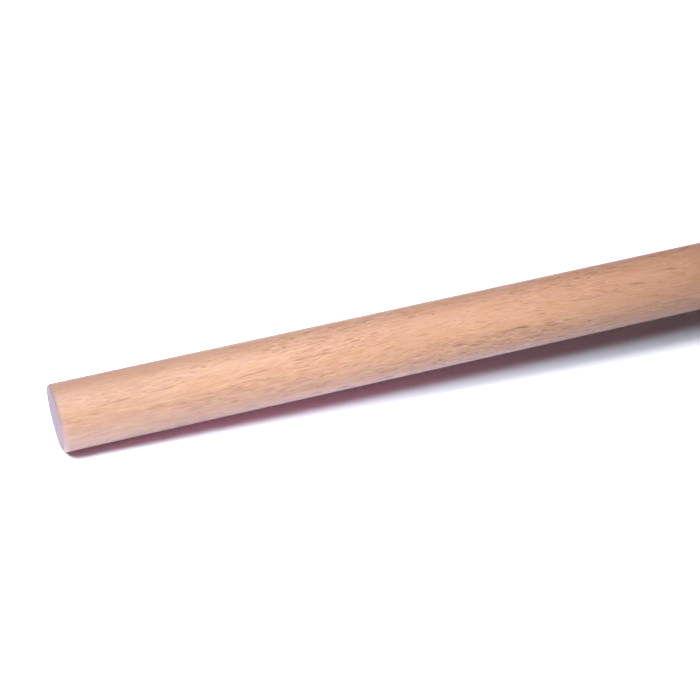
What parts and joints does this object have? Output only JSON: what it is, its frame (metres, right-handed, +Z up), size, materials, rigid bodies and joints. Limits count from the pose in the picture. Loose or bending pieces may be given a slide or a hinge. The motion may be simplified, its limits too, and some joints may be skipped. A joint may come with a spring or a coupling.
{
  "type": "wooden dowel rod",
  "caption": "Straight round rod of sanded beech, sawn square at both ends, with a lightly eased edge round each end face.",
  "frame": {"origin": "centre of the near end face, on the rod's axis", "axes": "+X along the rod's axis from the near end to the far end, +Z up with the rod lying level"},
  "size_m": [0.3, 0.012, 0.012],
  "materials": {
    "beech": "sanded, unfinished"
  },
  "bodies": {
    "root": {"dowel_rod": "beech"}
  },
  "joints": []
}
